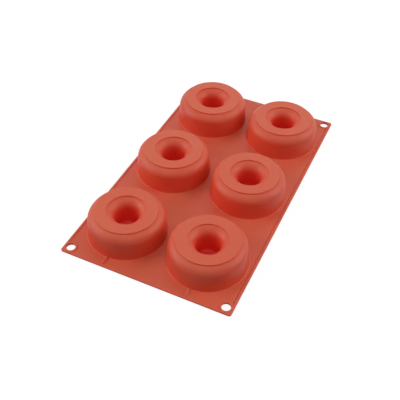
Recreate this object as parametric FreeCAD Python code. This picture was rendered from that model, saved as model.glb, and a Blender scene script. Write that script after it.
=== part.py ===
import FreeCAD, Part
import math
import os

# A flexible doughnut mould: one thin moulded sheet with six ring-shaped
# cavities, lying with the open cavities face down, as it is tipped to let
# the baked rings out. Origin at the middle of the flat face that lies on
# the table, X along the length, Y across the width, Z up. Millimetres.

V = FreeCAD.Vector

# Sheet that joins the rings
SHEET_LENGTH = 300.0
SHEET_WIDTH = 175.0
SHEET_THICKNESS = 2.0
SHEET_CORNER_RADIUS = 2.5
SHEET_EDGE_BEVEL = 0.4

# Grid of rings
RINGS_ALONG = 3
RINGS_ACROSS = 2
PITCH_ALONG = 99.8
PITCH_ACROSS = 85.4

# Outside of one ring
WALL = 1.6
FOOT_RADIUS = 39.0
OUTER_DRAFT = 5.0
OUTER_SHOULDER_RADIUS = 10.0
CROWN_HEIGHT = 28.8
FOOT_BLEND = 0.8

# Flat land on top of each ring, on which the mould stands in use
LAND_HEIGHT = 29.7
LAND_INNER_RADIUS = 19.2
LAND_OUTER_RADIUS = 30.7

# Blind hole in the middle of each ring
HOLE_FLOOR_RADIUS = 11.0
HOLE_DRAFT = 3.0
HOLE_SHOULDER_RADIUS = 10.5
HOLE_FLOOR_THICKNESS = 2.0

# Hanging holes in the corners, each in a raised disc
EYELET_INSET = 7.3
EYELET_HOLE_RADIUS = 4.4
EYELET_DISC_RADIUS = 6.6
EYELET_DISC_HEIGHT = 0.5

# Fine groove beside each long edge
GROOVE_INSET = 3.1
GROOVE_WIDTH = 1.0
GROOVE_DEPTH = 0.6

# Small flow ribs from the two rings at one short edge
RIB_WIDTH = 2.6
RIB_HEIGHT = 1.2
RIB_END_GAP = 2.4

# How far a cut runs past the face that it opens
CUT_MARGIN = 1.0

# Two points closer than this are one corner of a section
SAME_POINT = 1e-6


def slope(draft):
    """Sideways change of a drafted wall for each millimetre of height."""
    return math.tan(math.radians(draft))


def across(draft):
    """Length of a drafted wall's sideways cut through one millimetre of thickness."""
    return 1.0 / math.cos(math.radians(draft))


def point(radius, height):
    """A point of a ring's section: distance from the ring's axis, and height."""
    return V(radius, 0, height)


def on_arc(centre, radius, degrees):
    """The point of an arc at an angle above the outward direction."""
    angle = math.radians(degrees)
    return point(centre.x + radius * math.cos(angle), centre.z + radius * math.sin(angle))


def arc(centre, radius, start, end):
    """The edge of an arc between two angles, as a spline: turned, it meshes into fewer facets."""
    middle = on_arc(centre, radius, 0.5 * (start + end))
    circle = Part.Arc(on_arc(centre, radius, start), middle, on_arc(centre, radius, end))
    return circle.toBSpline().toShape()


def outer_wall_radius(height):
    """Outside of the ring's drafted outer wall at a height."""
    return FOOT_RADIUS - (height - SHEET_THICKNESS) * slope(OUTER_DRAFT)


def hole_wall_radius(height):
    """Drafted wall of the blind hole at a height."""
    return HOLE_FLOOR_RADIUS + (height - HOLE_FLOOR_THICKNESS) * slope(HOLE_DRAFT)


def outer_shoulder_centre():
    """Centre of the arc that is tangent to the outer wall and to the crown."""
    height = CROWN_HEIGHT - OUTER_SHOULDER_RADIUS
    return point(outer_wall_radius(height) - OUTER_SHOULDER_RADIUS * across(OUTER_DRAFT), height)


def hole_shoulder_centre():
    """Centre of the arc that is tangent to the hole's wall and to the crown."""
    height = CROWN_HEIGHT - HOLE_SHOULDER_RADIUS
    return point(hole_wall_radius(height) + HOLE_SHOULDER_RADIUS * across(HOLE_DRAFT), height)


def land_edge_angle(centre, radius, edge_radius):
    """How far from the top of a shoulder's arc the side of the land meets it."""
    return math.degrees(math.asin(abs(edge_radius - centre.x) / radius))


def section(pieces):
    """The flat section inside a run of arcs and points, with straight lines between them."""
    edges = []
    last = None
    first = None
    for piece in pieces:
        if isinstance(piece, FreeCAD.Vector):
            start, end = piece, piece
        else:
            start, end = piece.firstVertex(True).Point, piece.lastVertex(True).Point
        if last is None:
            first = start
        elif last.distanceToPoint(start) > SAME_POINT:
            edges.append(Part.makeLine(last, start))
        if not isinstance(piece, FreeCAD.Vector):
            edges.append(piece)
        last = end
    edges.append(Part.makeLine(last, first))
    return Part.Face(Part.Wire(edges))


def turned(face):
    """A section turned once round the ring's axis."""
    return face.revolve(V(0, 0, 0), V(0, 0, 1), 360)


def ring_body():
    """The ring as a filled form, with its blind hole, shoulders, land and sloping foot."""
    outer = outer_shoulder_centre()
    inner = hole_shoulder_centre()
    land_starts = 90 + land_edge_angle(inner, HOLE_SHOULDER_RADIUS, LAND_INNER_RADIUS)
    land_ends = 90 - land_edge_angle(outer, OUTER_SHOULDER_RADIUS, LAND_OUTER_RADIUS)
    foot_blend = SHEET_THICKNESS + FOOT_BLEND
    return turned(section([
        point(0, 0),
        point(0, HOLE_FLOOR_THICKNESS),
        point(HOLE_FLOOR_RADIUS, HOLE_FLOOR_THICKNESS),
        arc(inner, HOLE_SHOULDER_RADIUS, 180 - HOLE_DRAFT, land_starts),
        point(LAND_INNER_RADIUS, LAND_HEIGHT),
        point(LAND_OUTER_RADIUS, LAND_HEIGHT),
        arc(outer, OUTER_SHOULDER_RADIUS, land_ends, OUTER_DRAFT),
        point(outer_wall_radius(foot_blend), foot_blend),
        point(FOOT_RADIUS + FOOT_BLEND, SHEET_THICKNESS),
        point(FOOT_RADIUS + FOOT_BLEND, 0),
    ]))


def ring_cavity():
    """The space that the dough fills: the ring's outside moved in by the wall, open at the table."""
    outer = outer_shoulder_centre()
    inner = hole_shoulder_centre()
    mouth = outer_wall_radius(-CUT_MARGIN) - WALL * across(OUTER_DRAFT)
    post = hole_wall_radius(-CUT_MARGIN) + WALL * across(HOLE_DRAFT)
    return turned(section([
        point(mouth, -CUT_MARGIN),
        arc(outer, OUTER_SHOULDER_RADIUS - WALL, OUTER_DRAFT, 90),
        arc(inner, HOLE_SHOULDER_RADIUS - WALL, 90, 180 - HOLE_DRAFT),
        point(post, -CUT_MARGIN),
    ]))


def sheet():
    """The flat sheet, with rounded corners and bevelled edges."""
    plate = Part.makeBox(SHEET_LENGTH, SHEET_WIDTH, SHEET_THICKNESS,
                         V(-SHEET_LENGTH / 2, -SHEET_WIDTH / 2, 0))
    upright = [e for e in plate.Edges if e.BoundBox.ZLength > SHEET_THICKNESS / 2]
    plate = plate.makeFillet(SHEET_CORNER_RADIUS, upright)
    around = [e for e in plate.Edges if e.BoundBox.ZLength < SHEET_THICKNESS / 2]
    return plate.makeChamfer(SHEET_EDGE_BEVEL, around)


def ring_centres():
    """Middle of every ring on the sheet."""
    for along in range(RINGS_ALONG):
        for side in range(RINGS_ACROSS):
            x = (along - (RINGS_ALONG - 1) / 2) * PITCH_ALONG
            y = (side - (RINGS_ACROSS - 1) / 2) * PITCH_ACROSS
            yield V(x, y, 0)


def eyelet_centres():
    """Middle of every hanging hole."""
    for end in (-1, 1):
        for side in (-1, 1):
            yield V(end * (SHEET_LENGTH / 2 - EYELET_INSET), side * (SHEET_WIDTH / 2 - EYELET_INSET), 0)


def eyelet_disc(centre):
    """The raised disc round a hanging hole, sunk half way into the sheet."""
    height = SHEET_THICKNESS / 2 + EYELET_DISC_HEIGHT
    return Part.makeCylinder(EYELET_DISC_RADIUS, height, centre + V(0, 0, SHEET_THICKNESS / 2))


def eyelet_hole(centre):
    """The hanging hole, cut through the disc and the sheet."""
    height = SHEET_THICKNESS + EYELET_DISC_HEIGHT + 2 * CUT_MARGIN
    return Part.makeCylinder(EYELET_HOLE_RADIUS, height, centre - V(0, 0, CUT_MARGIN))


def groove(side):
    """The groove beside one long edge, from one raised disc to the other."""
    offset = EYELET_INSET - GROOVE_INSET
    reach = math.sqrt(EYELET_DISC_RADIUS ** 2 - offset ** 2)
    half = SHEET_LENGTH / 2 - EYELET_INSET - reach
    middle = side * (SHEET_WIDTH / 2 - GROOVE_INSET)
    return Part.makeBox(2 * half, GROOVE_WIDTH, GROOVE_DEPTH + CUT_MARGIN,
                        V(-half, middle - GROOVE_WIDTH / 2, SHEET_THICKNESS - GROOVE_DEPTH))


def rib(centre):
    """A low round-backed rib from a ring's foot towards the near short edge."""
    start = -SHEET_LENGTH / 2 + RIB_END_GAP
    length = centre.x - FOOT_RADIUS + WALL / 2 - start
    half = RIB_WIDTH / 2
    base = SHEET_THICKNESS / 2
    back = Part.Arc(V(start, -half, SHEET_THICKNESS), V(start, 0, SHEET_THICKNESS + RIB_HEIGHT),
                    V(start, half, SHEET_THICKNESS)).toShape()
    sides = [
        Part.makeLine(V(start, half, SHEET_THICKNESS), V(start, half, base)),
        Part.makeLine(V(start, half, base), V(start, -half, base)),
        Part.makeLine(V(start, -half, base), V(start, -half, SHEET_THICKNESS)),
    ]
    bar = Part.Face(Part.Wire([back] + sides)).extrude(V(length, 0, 0))
    bar.translate(V(0, centre.y, 0))
    return bar


def mould():
    """The whole moulding, as one solid."""
    centres = list(ring_centres())
    first_row = min(c.x for c in centres)
    added = [eyelet_disc(c) for c in eyelet_centres()]
    added += [rib(c) for c in centres if c.x == first_row]
    body = ring_body()
    cavity = ring_cavity()
    for c in centres:
        placed = body.copy()
        placed.translate(c)
        added.append(placed)
    removed = [eyelet_hole(c) for c in eyelet_centres()]
    removed += [groove(side) for side in (-1, 1)]
    for c in centres:
        placed = cavity.copy()
        placed.translate(c)
        removed.append(placed)
    return sheet().fuse(added).cut(removed).removeSplitter()


def report(name, shape):
    """Print what was made."""
    box = shape.BoundBox
    print("%s: valid %s, solids %d, volume %.0f mm3, box %.2f x %.2f x %.2f" % (
        name, shape.isValid(), len(shape.Solids), shape.Volume, box.XLength, box.YLength, box.ZLength))


os.makedirs("parts", exist_ok=True)
parts = {"mould": mould()}
for name, shape in parts.items():
    report(name, shape)
    shape.exportStep("parts/%s.step" % name)
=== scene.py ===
# %% [markdown]
# # A silicone doughnut mould, lying on its open side
#
# The real object is one thin moulding of silicone rubber: a flat sheet with
# six rings pushed up out of it. This lesson builds its whole skin, top and
# underside, from a few section lines worked out with numpy, gives it a satin
# terracotta finish, and lights it as on a pale photo table.
#
# Sizes in the cells are in millimetres, because a mould maker thinks in them.
# They become metres in one place, when the mesh is made.

import math

import bpy
import numpy as np
from mathutils import Matrix, Vector
from mathutils.geometry import delaunay_2d_cdt


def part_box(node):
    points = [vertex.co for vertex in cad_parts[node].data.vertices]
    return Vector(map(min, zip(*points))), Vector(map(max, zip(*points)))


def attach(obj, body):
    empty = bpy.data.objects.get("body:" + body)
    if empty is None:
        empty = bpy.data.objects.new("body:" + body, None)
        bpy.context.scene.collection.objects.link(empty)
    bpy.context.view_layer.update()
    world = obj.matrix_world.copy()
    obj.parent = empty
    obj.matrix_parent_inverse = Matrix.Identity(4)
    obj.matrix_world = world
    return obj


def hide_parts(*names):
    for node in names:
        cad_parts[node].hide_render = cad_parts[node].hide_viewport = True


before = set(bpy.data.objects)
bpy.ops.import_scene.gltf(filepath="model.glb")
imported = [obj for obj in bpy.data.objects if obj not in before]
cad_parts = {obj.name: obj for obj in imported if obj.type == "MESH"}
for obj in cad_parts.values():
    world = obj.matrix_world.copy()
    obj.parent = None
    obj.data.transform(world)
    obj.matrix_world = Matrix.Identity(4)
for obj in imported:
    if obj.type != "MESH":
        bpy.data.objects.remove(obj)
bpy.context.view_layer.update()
MM = 0.001
low, high = (np.array(corner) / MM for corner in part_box("mould"))
print("frame: %.1f x %.1f x %.1f mm" % tuple(high - low))

# %% [markdown]
# ## The sizes that drive everything
#
# The frame gives the outer size. The rest are the sizes a toolmaker would
# write on the drawing of the mould: where the rings stand, how thick the
# wall is, how much each wall leans so that the rubber comes off its tool, and
# how round each shoulder is. They could be typed into the cells below, but
# named once they keep the outside, the inside and the sheet in step.

# %% Sizes in millimetres
LENGTH, WIDTH, HEIGHT = high - low
SHEET_TOP = 2.0
PITCH_ALONG, PITCH_ACROSS = 99.8, 85.4
WALL = 1.6

FOOT_RADIUS, OUTER_DRAFT, OUTER_SHOULDER = 39.0, 5.0, 10.0
HOLE_RADIUS, HOLE_DRAFT, HOLE_SHOULDER = 11.0, 3.0, 10.5
CROWN_TOP = 28.8
LAND_TOP, LAND_INNER, LAND_OUTER = HEIGHT, 19.2, 30.7

ring_x = PITCH_ALONG * np.array([-1.0, 0.0, 1.0])
ring_y = PITCH_ACROSS / 2 * np.array([-1.0, 1.0])
ring_centres = [(x, y) for x in ring_x for y in ring_y]
print("rings:", len(ring_centres), "from x %.1f to x %.1f mm" % (ring_x[0], ring_x[-1]))

# %% [markdown]
# ## A line with rounded corners
#
# Every part of a moulding is a section line: straight runs that meet in round
# corners. One could draw each arc by hand with its centre. It is less work to
# list the sharp corners and let one function lay an arc of a given radius
# into each of them, tangent to both runs.

# %% Round the corners of a line
ARC_ERROR, WIDEST_STEP, FEWEST_STEPS = 0.015, 15.0, 3
NO_TURN = 1e-6


def rounded(corners, radii):
    """A line through corners, each with an arc laid into it.

    At a corner with opening angle a and radius R the arc touches both runs at
    R / tan(a/2) from the corner, and its centre is R / sin(a/2) away along
    the bisector. The arc is cut into steps of 2 arccos(1 - e/R), which leave
    it by at most the error e, and never more than the widest step. Its point
    at share t of the turn is
    centre + (first spoke x sin((1-t) turn) + last spoke x sin(t turn)) / sin(turn).
    """
    corners = np.asarray(corners, float)
    out = [corners[:1]]
    for before, corner, after, radius in zip(corners, corners[1:], corners[2:], radii):
        back = (before - corner) / np.linalg.norm(before - corner)
        ahead = (after - corner) / np.linalg.norm(after - corner)
        turn = math.pi - math.acos(np.clip(back @ ahead, -1, 1))
        if radius == 0 or turn < NO_TURN:
            out.append(corner[None])
            continue
        half = (math.pi - turn) / 2
        middle = (back + ahead) / np.linalg.norm(back + ahead)
        centre = corner + middle * radius / math.sin(half)
        first = corner + back * radius / math.tan(half) - centre
        last = corner + ahead * radius / math.tan(half) - centre
        step = min(math.degrees(2 * math.acos(max(0, 1 - ARC_ERROR / radius))), WIDEST_STEP)
        n = max(FEWEST_STEPS, math.ceil(math.degrees(turn) / step))
        t = np.linspace(0, 1, n + 1)[:, None]
        out.append(centre + (np.sin((1 - t) * turn) * first + np.sin(t * turn) * last) / math.sin(turn))
    out.append(corners[-1:])
    return np.concatenate(out)


bend = rounded([(0, 0), (20, 0), (20, 20)], [10.0])
print("a square corner with a radius of 10 mm becomes %d points" % (len(bend) - 2))

# %% [markdown]
# ## Points that hold the shading
#
# Smooth shading blends the direction of the surface from one point to the
# next. Beside a small round edge, a long flat run would then shine as if it
# were bent. Marking edges as sharp would stop that, but would also break the
# soft look of the round ones. So a long run gets a point close to each of its
# ends, which keeps it flat up to there, and a few more between them.

# %% Support points
LONG_RUN, HOLD = 1.2, 0.15


def supported(line, longest=5.0):
    """Adds points on each run longer than the long run: one `HOLD` from each
    end, and then one every `longest` at most."""
    out = [line[:1]]
    for a, b in zip(line, line[1:]):
        run = np.linalg.norm(b - a)
        if run > LONG_RUN:
            inner = np.linspace(HOLD, run - HOLD, max(2, math.ceil(run / longest) + 1))
            out.append(a + (b - a) * inner[:, None] / run)
        out.append(b[None])
    return np.concatenate(out)


print("a run of 10 mm gets points at", supported(np.array([[0.0, 0.0], [10.0, 0.0]]))[:, 0])

# %% [markdown]
# ## The section of a ring
#
# Cut a ring through its middle and this line appears: the floor of the blind
# hole, its slightly leaning wall, a wide round shoulder, the flat raised land,
# a second shoulder and the outer wall down to the sheet. The shoulders come
# first, as plain rounded corners. The land is then set on top of them: the
# crown between its two edges is cut away and a flat step is put there. At the
# foot the line runs on a little way over the sheet, to a rim where the flat
# field takes over.

# %% Outside of the ring
FLOOR_FILLET, FOOT_FILLET = 3.0, 0.8
RIM_MARGIN = 1.0
RING_REACH = FOOT_RADIUS + RIM_MARGIN


def leaning(foot, draft, height):
    """Distance from the axis of a wall that starts at `foot` on the sheet's top
    and leans by `draft` degrees: foot + height over the sheet x tan(draft)."""
    return foot + (height - SHEET_TOP) * math.tan(math.radians(draft))


crown_line = rounded(
    [(0, SHEET_TOP),
     (HOLE_RADIUS, SHEET_TOP),
     (leaning(HOLE_RADIUS, HOLE_DRAFT, CROWN_TOP), CROWN_TOP),
     (leaning(FOOT_RADIUS, -OUTER_DRAFT, CROWN_TOP), CROWN_TOP),
     (FOOT_RADIUS, SHEET_TOP),
     (RING_REACH, SHEET_TOP)],
    [FLOOR_FILLET, HOLE_SHOULDER, OUTER_SHOULDER, FOOT_FILLET])
print("crown line: %d points" % len(crown_line))

# %% The raised land
LAND_EDGE, LAND_CREASE = 0.45, 0.4


def with_land(line):
    """Cuts the upper half of the line between the land's edges, reads the line's
    height at both, and joins the ends by two upright steps and a flat top, with
    small round edges."""
    upper = line[:, 1] > CROWN_TOP / 2
    inside = line[upper & (line[:, 0] < LAND_INNER)]
    outside = line[upper & (line[:, 0] > LAND_OUTER)]
    order = np.argsort(line[upper][:, 0])
    heights = np.interp([LAND_INNER, LAND_OUTER], line[upper][order, 0], line[upper][order, 1])
    start = line[: np.flatnonzero(upper)[0]]
    end = line[np.flatnonzero(upper)[-1] + 1:]
    step = [(LAND_INNER, heights[0]), (LAND_INNER, LAND_TOP),
            (LAND_OUTER, LAND_TOP), (LAND_OUTER, heights[1])]
    corners = np.concatenate([start, inside, step, outside, end])
    first = len(start) + len(inside)
    radii = np.zeros(len(corners) - 2)
    radii[first - 1:first - 1 + len(step)] = [LAND_CREASE, LAND_EDGE, LAND_EDGE, LAND_CREASE]
    return rounded(corners, radii)


ring_line = supported(with_land(crown_line))
print("ring section: %d points, top at %.1f mm" % (len(ring_line), ring_line[:, 1].max()))

# %% [markdown]
# ## The section of the cavity underneath
#
# Turned over, each ring is a doughnut-shaped trough. Its walls run beside the
# outside at the thickness of the rubber. A Solidify modifier could make them,
# but it would press the step of the land through to the inside, where the
# dough needs a smooth ceiling. So the same corners are used, moved in by the
# wall, with shoulders smaller by the same amount. In the middle stands a
# hollow post, closed by a thin skin that lies on the table.

# %% Inside of the cavity
CEILING = CROWN_TOP - WALL
MOUTH_ROUND, POST_ROUND = 0.6, 1.4
LONGEST_BELOW = 8.0


def beside(draft):
    """How far sideways a leaning wall moves when its surface moves in by one
    wall: wall / cos(draft)."""
    return WALL / math.cos(math.radians(draft))


def outer_at(height):
    """Distance from the axis of the cavity's outer wall: the ring's outer wall
    less the thickness of the rubber, measured sideways."""
    return leaning(FOOT_RADIUS, -OUTER_DRAFT, height) - beside(OUTER_DRAFT)


def post_at(height):
    """Distance from the axis of the hollow post's wall: the blind hole's wall plus
    the thickness of the rubber, measured sideways."""
    return leaning(HOLE_RADIUS, HOLE_DRAFT, height) + beside(HOLE_DRAFT)


MOUTH_REACH = outer_at(0) + RIM_MARGIN
cavity_line = supported(rounded(
    [(MOUTH_REACH, 0),
     (outer_at(0), 0),
     (outer_at(CEILING), CEILING),
     (post_at(CEILING), CEILING),
     (post_at(0), 0),
     (0, 0)],
    [MOUTH_ROUND, OUTER_SHOULDER - WALL, HOLE_SHOULDER - WALL, POST_ROUND]), longest=LONGEST_BELOW)
print("cavity section: %d points, mouth %.1f mm wide" % (len(cavity_line), 2 * outer_at(0)))

# %% [markdown]
# ## Patches of skin
#
# The skin is gathered as patches. A patch is a grid of points with two
# directions: along the section line, and round the ring or along the edge. A
# ring could also be made with a Screw modifier, but a plain grid leaves us in
# control of the points on its rim, which have to meet the flat sheet exactly.

# %% A grid of points becomes a patch
patches = []


def grid_patch(points, closed):
    """Keeps a grid of points (rows, columns, 3) as quads that face the side from
    which rows x columns turn anticlockwise. A closed grid joins its last column
    to its first."""
    rows, cols = points.shape[:2]
    index = np.arange(rows * cols).reshape(rows, cols)
    if closed:
        index = np.concatenate([index, index[:, :1]], axis=1)
    quads = np.stack([index[:-1, :-1], index[1:, :-1], index[1:, 1:], index[:-1, 1:]], axis=-1)
    patches.append((points.reshape(-1, 3), quads.reshape(-1, 4)))


def even_turn(columns):
    """Angles of a full turn in equal steps: column k stands at 2 pi k / columns."""
    return np.arange(columns) * 2 * math.pi / columns


def turned(line, angles, centre):
    """The point at (r, z) of the line and angle a is (cx + r cos a, cy + r sin a, z)."""
    r, z = line[:, :1], line[:, 1:]
    x = centre[0] + r * np.cos(angles)
    y = centre[1] + r * np.sin(angles)
    return np.stack([x, y, z + 0 * x], axis=-1)


COLUMNS = 96
even_angles = even_turn(COLUMNS)
print("a ring has %d quads" % ((len(ring_line) - 1) * COLUMNS))

# %% [markdown]
# ## The little ribs at one short edge
#
# At one short edge a low round rib runs from each ring towards the edge, where
# rubber flowed into the tool. One could push a separate bar into the ring, but
# a moulding has no such seam. The rib and the ring are one surface here, so
# the rings of that row get extra columns of points across the rib, and
# wherever the rib is higher than the ring's foot the skin is lifted to it. The
# even columns that stand in the rib's way are left out.
#
# A narrow flat hem runs round the rib, so that its shading stops there and
# doesn't stray over the large flat triangles beside it. Close rows on the
# ring's wall do the same just above the rib.

# %% Section of a rib, and the extra rows and columns
RIB_HALF, RIB_RISE = 1.3, 1.2
RIB_STEPS = 10
HEM = HOLD
ROWS_ABOVE_RIB = HEM * np.array([-1, 0, 1, 3])
CLEAR_ANGLE = 0.01

rib_across = RIB_HALF * np.cos(np.linspace(math.pi, 0, RIB_STEPS + 1))
rib_across = np.concatenate([[-RIB_HALF - HEM], rib_across, [RIB_HALF + HEM]])
rib_angles = math.pi - np.arcsin(rib_across / RING_REACH)
rib_back = (RIB_HALF ** 2 + RIB_RISE ** 2) / (2 * RIB_RISE)


def rib_height(y):
    """Height of the rib over the sheet: an arc through both sides and the back,
    sqrt(R^2 - y^2) - (R - rise)."""
    inside = np.clip(rib_back ** 2 - np.minimum(np.abs(y), RIB_HALF) ** 2, 0, None)
    return np.sqrt(inside) - (rib_back - RIB_RISE)


clear_of_rib = np.abs(even_angles - math.pi) > rib_angles.max() - math.pi + CLEAR_ANGLE
ribbed_angles = np.sort(np.concatenate([even_angles[clear_of_rib], rib_angles]))

row_heights = SHEET_TOP + RIB_RISE + ROWS_ABOVE_RIB
wall_rows = np.column_stack([leaning(FOOT_RADIUS, -OUTER_DRAFT, row_heights), row_heights])
below_rows = (ring_line[:, 0] > LAND_OUTER) & (ring_line[:, 1] < row_heights[0])
ribbed_line = np.insert(ring_line, np.flatnonzero(below_rows)[0], wall_rows[::-1], axis=0)
print("a ribbed ring has %d rows and %d columns" % (len(ribbed_line), len(ribbed_angles)))

# %% [markdown]
# ## The six rings
#
# Now both section lines are turned round the axis of each ring. One ring and
# an Array modifier would make six that are alike, but two of them carry a rib,
# so each ring is a patch of its own, with its cavity below.

# %% Rings and cavities
for cx, cy in ring_centres:
    if cx == ring_x[0]:
        ring = turned(ribbed_line, ribbed_angles, (cx, cy))
        near = (ring[..., 0] < cx) & (np.hypot(ring[..., 0] - cx, ring[..., 1] - cy) > LAND_OUTER)
        lifted = SHEET_TOP + rib_height(ring[..., 1] - cy)
        ring[..., 2] = np.where(near & (lifted > ring[..., 2]), lifted, ring[..., 2])
    else:
        ring = turned(ring_line, even_angles, (cx, cy))
    grid_patch(ring, closed=True)
    grid_patch(turned(cavity_line, even_angles, (cx, cy)), closed=True)
print("patches for rings and cavities:", len(patches))

# %% [markdown]
# ## From the ring's rim to the edge
#
# Beyond the rim of its ring a rib runs on over the flat sheet, as a strip of
# its own. A bar could be laid there instead, but its end wouldn't melt into
# the rubber as a moulded one does. The strip's first rows rise from the sheet,
# and its last row lies on the ring's rim, point on point.

# %% Ribs on the sheet
RIB_END_GAP, RIB_RUNOUT = 2.4, 1.0
RUNOUT_STEPS, STRAIGHT_STEPS = 6, 5


def rib_patch(cx, cy):
    """Rows run from the edge end to the ring's rim, columns across the rib. Over
    the run-out its height rises as a quarter of a circle, sqrt(1 - (1 - u)^2)."""
    start = -LENGTH / 2 + RIB_END_GAP
    rim = cx - np.sqrt(RING_REACH ** 2 - rib_across ** 2)
    runout = RIB_RUNOUT * (1 - np.cos(np.linspace(0, math.pi / 2, RUNOUT_STEPS + 1)))
    straight = np.linspace(0, 1, STRAIGHT_STEPS + 1)[1:]
    ease = np.sqrt(1 - (1 - runout / RIB_RUNOUT) ** 2)
    runout, ease = np.append(-HEM, runout), np.append(0, ease)
    x_run = start + runout[:, None] + 0 * rib_across
    x_straight = start + RIB_RUNOUT + straight[:, None] * (rim - start - RIB_RUNOUT)
    x = np.concatenate([x_run, x_straight])
    fade = np.concatenate([ease, np.ones(len(straight))])[:, None]
    y = cy + rib_across + 0 * x
    return np.stack([x, y, SHEET_TOP + fade * rib_height(rib_across)], axis=-1)


ribs = [rib_patch(cx, cy) for cx, cy in ring_centres if cx == ring_x[0]]
for rib in ribs:
    grid_patch(rib, closed=False)
print("ribs: %d, %.1f mm high" % (len(ribs), max(rib[..., 2].max() for rib in ribs) - SHEET_TOP))

# %% [markdown]
# ## Hanging holes in the corners
#
# Each corner has a round hole in a slightly raised disc, which keeps the
# rubber from tearing. A Boolean could cut it, but its sharp rims would then
# have to be rounded. Here it is one more section line, turned round: it starts
# on the underside, rounds the lip, climbs the wall of the hole, crosses the
# disc and steps down to the sheet.

# %% Eyelets
EYELET_INSET, EYELET_HOLE, EYELET_DISC, EYELET_RISE = 7.3, 4.4, 6.6, 0.5
EYELET_COLUMNS = 64
LIP_REACH = 0.6
DISC_SLOPE_TOP, DISC_SLOPE_FOOT = 0.25, 0.1
LIP_ROUND, HOLE_ROUND, DISC_ROUND, DISC_CREASE = 0.3, 0.35, 0.2, 0.05

eyelet_line = supported(rounded(
    [(EYELET_HOLE + LIP_REACH, 0),
     (EYELET_HOLE, 0),
     (EYELET_HOLE, SHEET_TOP + EYELET_RISE),
     (EYELET_DISC - DISC_SLOPE_TOP, SHEET_TOP + EYELET_RISE),
     (EYELET_DISC - DISC_SLOPE_FOOT, SHEET_TOP),
     (EYELET_DISC, SHEET_TOP)],
    [LIP_ROUND, HOLE_ROUND, DISC_ROUND, DISC_CREASE]))
eyelet_angles = even_turn(EYELET_COLUMNS)
eyelet_centres = [(ex * (LENGTH / 2 - EYELET_INSET), ey * (WIDTH / 2 - EYELET_INSET))
                  for ex in (-1, 1) for ey in (-1, 1)]
for centre in eyelet_centres:
    grid_patch(turned(eyelet_line, eyelet_angles, centre), closed=True)
print("eyelet section: %d points, hole %.1f mm wide" % (len(eyelet_line), 2 * EYELET_HOLE))

# %% [markdown]
# ## Grooves beside the long edges
#
# A fine groove runs beside each long edge, from one corner disc to the other.
# It could be drawn in the finish, with a Bump node, but a real dip has its true
# shadow from every side. It is a grid whose height is a flat-bottomed dip
# across the groove, and which comes up to the sheet at both ends. It has a hem
# too.

# %% Grooves
GROOVE_INSET, GROOVE_HALF, GROOVE_DEPTH, GROOVE_RUNOUT = 3.1, 0.5, 0.6, 0.8
GROOVE_GAP = 0.1
ACROSS_STEPS, END_STEPS, ALONG_STEPS = 8, 5, 39
disc_reach = math.sqrt(EYELET_DISC ** 2 - (EYELET_INSET - GROOVE_INSET - GROOVE_HALF) ** 2)
groove_end = LENGTH / 2 - EYELET_INSET - disc_reach - GROOVE_GAP


def groove_patch(side):
    """Depth = full depth x (1 - |v|^4) across, v from -1 to 1, and x (1 - |u|^4)
    within the run-out at each end. The hem is where v or u pass 1."""
    v = np.sin(np.linspace(-math.pi / 2, math.pi / 2, ACROSS_STEPS + 1))
    v = np.concatenate([[-1 - HEM / GROOVE_HALF], v, [1 + HEM / GROOVE_HALF]])
    u = np.append(-1 - HEM / GROOVE_RUNOUT, np.linspace(-1, 0, END_STEPS + 1))
    ends = groove_end - GROOVE_RUNOUT - HEM
    between = np.linspace(-ends, ends, ALONG_STEPS + 1)[1:-1]
    x = np.concatenate([u * GROOVE_RUNOUT - ends, between, ends - u[::-1] * GROOVE_RUNOUT])
    fade = np.concatenate([1 - u ** 4, np.ones(len(between)), 1 - u[::-1] ** 4])
    dip = np.clip(fade, 0, 1)[:, None] * np.clip(1 - v ** 4, 0, 1)
    y = side * (WIDTH / 2 - GROOVE_INSET) + v * GROOVE_HALF
    z = SHEET_TOP - GROOVE_DEPTH * dip
    return np.stack([x[:, None] + 0 * z, y + 0 * z, z], axis=-1)


grooves = [groove_patch(side) for side in (-1, 1)]
for groove in grooves:
    grid_patch(groove, closed=False)
print("grooves: %.1f mm long" % (2 * (groove_end - HEM)))

# %% [markdown]
# ## The edge of the sheet
#
# The rim of the sheet is a small section carried round a rectangle with
# rounded corners: over the top edge, down the side and under. A box with a
# Bevel modifier would give the same edge, but also a top and an underside of
# its own, which the rings would have to be cut out of. Each station of the
# path has a point and a direction square to it, and the section is laid along
# that direction.

# %% Edge of the sheet
CORNER_RADIUS, EDGE_ROUND, EDGE_REACH = 2.5, 0.5, 0.6
CORNER_STEPS, SIDE_STEPS = 8, 23


def outline_path():
    """Stations anticlockwise round the sheet: the point on the outline and the
    outward direction. Corner k turns from k x 90 degrees to the next, its points
    at centre + R (cos a, sin a), and a straight side in even steps follows it."""
    corners, turns = [], []
    for k, (ex, ey) in enumerate([(1, 1), (-1, 1), (-1, -1), (1, -1)]):
        a = np.radians(np.linspace(90 * k, 90 * k + 90, CORNER_STEPS + 1))[:, None]
        turns.append(np.concatenate([np.cos(a), np.sin(a)], axis=1))
        centre = np.array([ex * (LENGTH / 2 - CORNER_RADIUS), ey * (WIDTH / 2 - CORNER_RADIUS)])
        corners.append(centre + CORNER_RADIUS * turns[k])
    points, outward = [], []
    for corner, turn, following in zip(corners, turns, corners[1:] + corners[:1]):
        side = np.linspace(corner[-1], following[0], SIDE_STEPS + 1)[1:-1]
        points += [corner, side]
        outward += [turn, np.repeat(turn[-1:], len(side), axis=0)]
    return np.concatenate(points), np.concatenate(outward)


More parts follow.
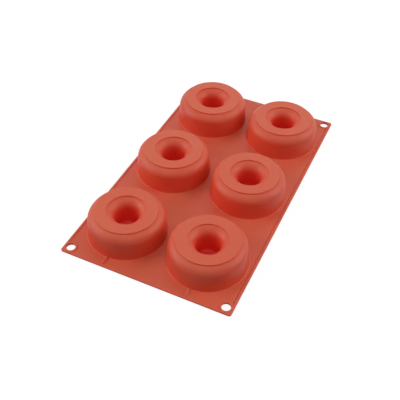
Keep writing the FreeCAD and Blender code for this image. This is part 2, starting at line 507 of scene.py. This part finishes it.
outline, outward = outline_path()
edge_line = supported(rounded(
    [(EDGE_REACH, SHEET_TOP), (0, SHEET_TOP), (0, 0), (EDGE_REACH, 0)],
    [EDGE_ROUND, EDGE_ROUND]))
edge_xy = outline[None] - edge_line[:, :1, None] * outward[None]
edge_z = np.broadcast_to(edge_line[:, 1:, None], edge_xy.shape[:2] + (1,))
grid_patch(np.concatenate([edge_xy, edge_z], axis=-1), closed=True)
print("edge: %d stations round the sheet" % len(outline))

# %% [markdown]
# ## The flat web between everything
#
# What is left is flat: the top of the sheet with openings for rings, discs,
# grooves and ribs, and its underside with openings for cavities and holes.
# They could be cut out of a plane with Booleans, but each opening would need a
# cutter of its own. A constrained triangulation fills such a field in one go,
# exactly up to the given rims, so the points of neighbouring patches are
# shared and the skin closes.

# %% Fill the flat fields
WELD = 1e-3


def circle(centre, radius, angles):
    """Points (cx + R cos a, cy + R sin a) at the given angles."""
    return np.stack([centre[0] + radius * np.cos(angles), centre[1] + radius * np.sin(angles)], axis=-1)


def border(grid):
    """The outer loop of an open grid, once round."""
    return np.concatenate([grid[:-1, 0], grid[-1, :-1], grid[:0:-1, -1], grid[0, :0:-1]])[:, :2]


def flat_patch(outline, openings, height, up):
    """Triangulates the outline and the rims of all openings together. A triangle
    with three points on one rim lies in an opening and goes. That holds because
    each opening is convex, but for a rib's end, and there a ring's opening begins."""
    loops = [outline] + openings
    whole = np.round(np.concatenate(loops) / WELD).astype(np.int64)
    whole, number = np.unique(whole, axis=0, return_inverse=True)
    points, number = whole * WELD, number.ravel()
    ids = np.split(number, np.cumsum([len(loop) for loop in loops])[:-1])
    edges = [pair for loop in ids for pair in zip(loop.tolist(), np.roll(loop, -1).tolist())]
    on_rim = np.zeros((len(openings), len(points)), bool)
    for row, loop in zip(on_rim, ids[1:]):
        row[loop] = True

    found = delaunay_2d_cdt([Vector(p) for p in points], edges, [], 0, WELD / 10, True)
    source = np.array([came_from[0] for came_from in found[3]])
    triangles = source[np.array(found[2])]
    triangles = triangles[~on_rim[:, triangles].all(axis=2).any(axis=0)]
    if not up:
        triangles = triangles[:, ::-1]
    patches.append((np.column_stack([points, np.full(len(points), height)]), triangles))
    print("flat field at %.1f mm: %d triangles" % (height, len(triangles)))


rims = [circle(c, RING_REACH, ribbed_angles if c[0] == ring_x[0] else even_angles) for c in ring_centres]
rims += [circle(c, EYELET_DISC, eyelet_angles) for c in eyelet_centres]
rims += [border(grid) for grid in grooves + ribs]
flat_patch(edge_xy[0], rims, SHEET_TOP, up=True)

mouths = [circle(c, MOUTH_REACH, even_angles) for c in ring_centres]
mouths += [circle(c, EYELET_HOLE + LIP_REACH, eyelet_angles) for c in eyelet_centres]
flat_patch(edge_xy[-1], mouths, 0.0, up=False)

# %% [markdown]
# ## One closed skin
#
# The patches meet point on point. Welding them makes one mesh with no open
# edge, which a printer or a physics program can use as a solid. Blender's
# Merge by Distance would do it too, but the rims already agree, so rounding
# the places finds the pairs at once. Where a section line reaches the axis, a
# quad has two equal corners after welding and is kept as a triangle.
#
# Then the skin is tested: an edge that isn't used by exactly two faces is
# open, and there must be none.

# %% Weld the patches
def welded(patches):
    """Points whose x, y and z round to the same multiples of the weld distance
    become one, and each face is renumbered."""
    points = np.concatenate([p for p, _ in patches])
    _, first, number = np.unique(np.round(points / WELD).astype(np.int64), axis=0,
                                 return_index=True, return_inverse=True)
    number = number.ravel()
    faces, start = [], 0
    for p, f in patches:
        f = number[f + start]
        start += len(p)
        same = f == np.roll(f, -1, axis=1)
        whole = ~same.any(axis=1)
        faces += f[whole].tolist()
        pinched = f[~whole], same[~whole]
        faces += [row[~s].tolist() for row, s in zip(*pinched) if (~s).sum() >= 3]
    return points[first], faces


points, faces = welded(patches)
ends = np.concatenate([np.stack([f, np.roll(f, -1)], axis=1) for f in faces])
_, uses = np.unique(np.sort(ends, axis=1), axis=0, return_counts=True)
print("skin: %d points, %d triangles, open edges %d" % (
    len(points), sum(len(f) - 2 for f in faces), (uses != 2).sum()))

# %% [markdown]
# ## The mesh, and the painted shade of the holes
#
# The points become a Blender mesh, in metres. Each point also gets a number
# for the finish: 1 outside the blind holes, falling to 0 down in them as
# 3 t^2 - 2 t^3, where t is the share of the way up. Where it falls, the finish
# paints the shade of the holes. An Ambient Occlusion node would give much the
# same, but is slow and changes with what stands near. An attribute stays with
# the surface.

# %% Make the mesh
# Heights between which the painted hole shade fades out.
HOLE_DARK, HOLE_OPEN = 11.0, 27.5

mesh = bpy.data.meshes.new("mould_skin")
mesh.from_pydata((points * MM).tolist(), [], faces)
mesh.shade_smooth()
mesh.validate()

# Painted shade: a mask that is 1 outside the blind holes and falls to 0 down in them.
from_axis = np.min([np.hypot(points[:, 0] - cx, points[:, 1] - cy) for cx, cy in ring_centres], axis=0)
rise = np.clip((points[:, 2] - HOLE_DARK) / (HOLE_OPEN - HOLE_DARK), 0, 1)
outside_hole_shade = np.where(from_axis < LAND_INNER, rise ** 2 * (3 - 2 * rise), 1)
mesh.attributes.new("outside_hole_shade", "FLOAT", "POINT").data.foreach_set("value", outside_hole_shade)

mould = bpy.data.objects.new("mould_skin", mesh)
bpy.context.scene.collection.objects.link(mould)
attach(mould, "root")
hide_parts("mould")
# These are the points deep in the painted hole shade.
print("points out of reach: %d" % (outside_hole_shade < 0.5).sum())

# %% [markdown]
# ## The finish of silicone rubber
#
# Moulded silicone is satin, and no two places on it are quite alike. A flat
# colour looks like paint, and a picture of rubber would blur close by. So the
# finish is built from noise over the mould's own coordinates: slow mottling,
# small paler specks, and a very fine skin texture in the bump. Three small
# helpers come first. Each adds a node and gives back its output.

# %% Helpers for the nodes
def noise(tree, place, scale, detail):
    """Noise over a place in metres: mostly 0.3 to 0.7, in blots of about 1 / scale."""
    node = tree.nodes.new("ShaderNodeTexNoise")
    node.inputs["Scale"].default_value = scale
    node.inputs["Detail"].default_value = detail
    tree.links.new(place.outputs["Object"], node.inputs["Vector"])
    return node.outputs["Fac"]


def ramp(tree, source, start, end):
    """A straight rise: the source from start[0] to end[0] becomes start[1] to end[1]."""
    node = tree.nodes.new("ShaderNodeMapRange")
    for name, value in zip(("From Min", "To Min", "From Max", "To Max"), (*start, *end)):
        node.inputs[name].default_value = value
    tree.links.new(source, node.inputs["Value"])
    return node.outputs["Result"]


def mixed(tree, factor, deep, pale):
    """Deep colour x (1 - factor) + pale colour x factor. The pale one may be
    another node's output."""
    node = tree.nodes.new("ShaderNodeMix")
    node.data_type = "RGBA"
    tree.links.new(factor, node.inputs["Factor"])
    node.inputs["A"].default_value = (*deep, 1)
    if isinstance(pale, tuple):
        node.inputs["B"].default_value = (*pale, 1)
    else:
        tree.links.new(pale, node.inputs["B"])
    return node.outputs["Result"]


# %% [markdown]
# ## Painted top light, mottling and specks
#
# Faces that look up are painted paler, a painted highlight of the light from
# above. Pale blots of mottling and small paler specks, which the rubber has
# under any lamp, are added to it. It could be painted on the mesh by hand. As
# a sum of simple rises it follows one rule on all six rings, and each rise can
# be tuned by itself.
#
# A noise is written here as its scale and detail, and the start and the end of
# a rise as what comes in and what goes out there.

# %% Painted top light, mottling and specks
SPECKS = (900.0, 1.0)
SPECK_START, SPECK_FULL = (0.70, 0.0), (0.78, 1.0)
# Painted top light: how the paleness rises with the normal's upward part.
TOPLIGHT_START, TOPLIGHT_FULL = (0.05, 0.0), (1.0, 0.62)
DARK_BLOT, LIGHT_BLOT = (0.35, 0.0), (0.65, 0.2)


def toplight_mottle_specks(tree, place, mottling):
    """Paleness = a painted highlight that rises with the normal's upward part + a
    rise with the mottling + specks where a fine noise is highest, and at most 1."""
    normal = tree.nodes.new("ShaderNodeSeparateXYZ")
    tree.links.new(place.outputs["Normal"], normal.inputs[0])
    # Painted top light: paler as the normal turns up.
    paleness = ramp(tree, normal.outputs["Z"], TOPLIGHT_START, TOPLIGHT_FULL)
    blots = ramp(tree, mottling, DARK_BLOT, LIGHT_BLOT)
    specks = ramp(tree, noise(tree, place, *SPECKS), SPECK_START, SPECK_FULL)
    for more in (blots, specks):
        total = tree.nodes.new("ShaderNodeMath")
        total.operation = "ADD"
        total.use_clamp = True
        tree.links.new(paleness, total.inputs[0])
        tree.links.new(more, total.inputs[1])
        paleness = total.outputs[0]
    return paleness


# %% [markdown]
# ## The rubber itself
#
# Light enters silicone a little way and comes back redder. A plain Diffuse
# shader would make it look like chalk, while the Principled one has both the
# satin shine and, as subsurface light, that little depth. The blind holes get
# a painted shade of their own, deeper in green and blue and redder, which
# stands in for light that has crossed the thin wall, and no painted top light.

# %% Silicone material
RUBBER = (0.70, 0.060, 0.025)
# Pale colour of the painted top light, the mottling and the specks.
RUBBER_TOPLIT_AND_SPECKED = (0.70, 0.154, 0.079)
# Painted shade of the blind holes: deeper in green and blue, and redder, standing in for light that has
# crossed the thin wall.
RUBBER_HOLE_SHADE = (0.85, 0.048, 0.030)
MOTTLING, GRAIN = (28.0, 3.0), (1500.0, 2.0)
SMOOTHER, ROUGHER = (0.3, 0.41), (0.7, 0.49)


def silicone():
    """Principled surface. The painted top light, mottling and specks mix the deep
    colour with the pale one, and down in the blind holes the painted hole shade takes over."""
    material = bpy.data.materials.new("terracotta_silicone")
    material.use_nodes = True
    tree = material.node_tree
    shader = tree.nodes["Principled BSDF"]
    place = tree.nodes.new("ShaderNodeTexCoord")
    mottling = noise(tree, place, *MOTTLING)
    hole_shade_node = tree.nodes.new("ShaderNodeAttribute")
    hole_shade_node.attribute_name = "outside_hole_shade"
    outside = mixed(tree, toplight_mottle_specks(tree, place, mottling), RUBBER, RUBBER_TOPLIT_AND_SPECKED)
    # Down in the blind holes the painted hole shade takes over.
    colour = mixed(tree, hole_shade_node.outputs["Fac"], RUBBER_HOLE_SHADE, outside)
    tree.links.new(colour, shader.inputs["Base Color"])
    tree.links.new(ramp(tree, mottling, SMOOTHER, ROUGHER), shader.inputs["Roughness"])

    grain = tree.nodes.new("ShaderNodeBump")
    grain.inputs["Strength"].default_value = 0.25
    grain.inputs["Distance"].default_value = 0.0001
    tree.links.new(noise(tree, place, *GRAIN), grain.inputs["Height"])
    tree.links.new(grain.outputs["Normal"], shader.inputs["Normal"])

    shader.inputs["IOR"].default_value = 1.45
    shader.inputs["Specular IOR Level"].default_value = 0.35
    shader.inputs["Subsurface Weight"].default_value = 0.5
    shader.inputs["Subsurface Radius"].default_value = (1.0, 0.25, 0.12)
    shader.inputs["Subsurface Scale"].default_value = 0.002
    return material


rubber = silicone()
mould.data.materials.append(rubber)
print("%s: %d nodes" % (rubber.name, len(rubber.node_tree.nodes)))

# %% [markdown]
# ## The photo table
#
# A plain sheet under the mould. Ordinary white paper could be used, but it
# would throw so much light back that the near walls turned pale, and it would
# look grey where the lamps are weak. So this paper has two natures. Whoever
# looks at it, straight or in a shiny surface, sees white, as paper is that is
# lit from below too: most of it is a glow, and the lamps add the last part,
# which the mould's soft shadow takes away again. As a source of light it
# counts for little.

# %% Looked at, or lighting others
def looked_at(tree, from_value, to_value):
    """A value that is `to_value` for rays that look at a thing, from the camera or
    by way of a glossy or clear surface, and `from_value` for its light on others."""
    path = tree.nodes.new("ShaderNodeLightPath")
    level = tree.nodes.new("ShaderNodeMapRange")
    level.inputs["To Min"].default_value = from_value
    level.inputs["To Max"].default_value = to_value
    sight = path.outputs["Is Camera Ray"]
    for kind in ("Is Glossy Ray", "Is Transmission Ray"):
        either = tree.nodes.new("ShaderNodeMath")
        either.operation = "MAXIMUM"
        tree.links.new(sight, either.inputs[0])
        tree.links.new(path.outputs[kind], either.inputs[1])
        sight = either.outputs[0]
    tree.links.new(sight, level.inputs["Value"])
    return level.outputs["Result"]


# %% Floor
FLOOR_HALF = 1.5
PAPER_SHARE, PAPER_BOUNCE, PAPER_GLOW = 0.25, 0.06, 0.84


def paper():
    """Matt paper with a glow added where it is looked at: glow + share x the light on
    it is 1, which is white, in the open and less in the shadow."""
    material = bpy.data.materials.new("white_paper")
    material.use_nodes = True
    tree = material.node_tree
    tree.nodes.remove(tree.nodes["Principled BSDF"])
    matt = tree.nodes.new("ShaderNodeBsdfDiffuse")
    glow = tree.nodes.new("ShaderNodeEmission")
    both = tree.nodes.new("ShaderNodeAddShader")
    tree.links.new(looked_at(tree, PAPER_BOUNCE, PAPER_SHARE), matt.inputs["Color"])
    tree.links.new(looked_at(tree, 0.0, PAPER_GLOW), glow.inputs["Strength"])
    tree.links.new(matt.outputs[0], both.inputs[0])
    tree.links.new(glow.outputs[0], both.inputs[1])
    tree.links.new(both.outputs[0], tree.nodes["Material Output"].inputs["Surface"])
    return material


floor_corners = [(-FLOOR_HALF, -FLOOR_HALF, 0), (FLOOR_HALF, -FLOOR_HALF, 0),
                 (FLOOR_HALF, FLOOR_HALF, 0), (-FLOOR_HALF, FLOOR_HALF, 0)]
floor_mesh = bpy.data.meshes.new("paper_floor")
floor_mesh.from_pydata(floor_corners, [], [(0, 1, 2, 3)])
floor = bpy.data.objects.new("paper_floor", floor_mesh)
floor.data.materials.append(paper())
bpy.context.scene.collection.objects.link(floor)
print("floor: %.1f m wide" % (2 * FLOOR_HALF))

# %% [markdown]
# ## Light
#
# In the photograph the lands are even and pale, both flanks of each ring are
# light, and the walls that face us are deep in colour, lit mostly by light that
# has already bounced off the red sheet. So the light comes from the two sides:
# two low panels do most of the work, and a weaker one in front and one behind,
# both higher up, soften their shadows. One bright sky would be simpler, but it
# lights all walls alike, also those that face us. Each panel is written as on a
# plan of the set, by its bearing from the camera's side and its height in
# degrees. A weak even sky fills the rest, and is white where it is looked at.

# %% Lamps
PANEL_AWAY, PANEL_SIZE = 2.4, 1.6
PANEL_AIM = Vector((0, 0, 0.01))
CAMERA_BEARING = -155.9


def soft_lamp(name, bearing, elevation, watts):
    """A square area lamp that looks at the mould. Its place is the distance times
    (cos e cos a, cos e sin a, sin e), with elevation e and bearing a."""
    a, e = math.radians(CAMERA_BEARING + bearing), math.radians(elevation)
    place = PANEL_AWAY * Vector((math.cos(e) * math.cos(a), math.cos(e) * math.sin(a), math.sin(e)))
    data = bpy.data.lights.new(name, "AREA")
    data.size = PANEL_SIZE
    data.energy = watts
    lamp = bpy.data.objects.new(name, data)
    aim = (PANEL_AIM - place).to_track_quat("-Z", "Y")
    lamp.matrix_world = Matrix.Translation(place) @ aim.to_matrix().to_4x4()
    bpy.context.scene.collection.objects.link(lamp)
    print("%s: %.1f W from %.2f, %.2f, %.2f m" % (name, watts, *place))


soft_lamp("left_panel", -90, 25, 27.9)
soft_lamp("right_panel", 90, 25, 25.9)
soft_lamp("front_panel", 0, 60, 7.8)
soft_lamp("back_panel", 180, 40, 4.9)

# %% Sky
SKY_LIGHT, SKY_SEEN = 0.31, 1.0

world = bpy.data.worlds.new("pale_room")
world.use_nodes = True
bpy.context.scene.world = world
sky = world.node_tree.nodes["Background"]
sky.inputs["Color"].default_value = (1, 1, 1, 1)
world.node_tree.links.new(looked_at(world.node_tree, SKY_LIGHT, SKY_SEEN), sky.inputs["Strength"])
print("sky: lights at %.2f, seen at %.2f" % (SKY_LIGHT, SKY_SEEN))

# %% [markdown]
# ## Camera
#
# The camera looks down at the mould from one short end, about 45 degrees above
# the table. It was placed by matching the corners of the sheet and the rims of
# the lands. A Track To constraint would aim it in one step, but would lose the
# slight tilt to one side that the match gave. So it is given as a place and two
# directions, the one to its right and the one it looks in.

# %% Camera
CAMERA_PLACE = (-0.4668, -0.1983, 0.4739)
CAMERA_RIGHT = (0.42297, -0.90602, 0.01512)
CAMERA_AHEAD = (0.64836, 0.29095, -0.70354)
FOCAL_PIXELS, IMAGE_PIXELS, SENSOR = 657.3, 400, 36.0
NEAREST = 0.01

ahead = Vector(CAMERA_AHEAD).normalized()
right = Vector(CAMERA_RIGHT)
right = (right - right.dot(ahead) * ahead).normalized()
up = right.cross(ahead)
pose = Matrix((right, up, -ahead)).transposed().to_4x4()
pose.translation = CAMERA_PLACE

camera_data = bpy.data.cameras.new("camera")
camera_data.sensor_width = SENSOR
camera_data.lens = SENSOR * FOCAL_PIXELS / IMAGE_PIXELS
camera_data.clip_start = NEAREST
camera = bpy.data.objects.new("camera", camera_data)
camera.matrix_world = pose
bpy.context.scene.collection.objects.link(camera)
bpy.context.scene.camera = camera
bpy.context.scene.view_settings.view_transform = "Standard"
print("lens %.1f mm, height %.0f mm" % (camera_data.lens, CAMERA_PLACE[2] / MM))
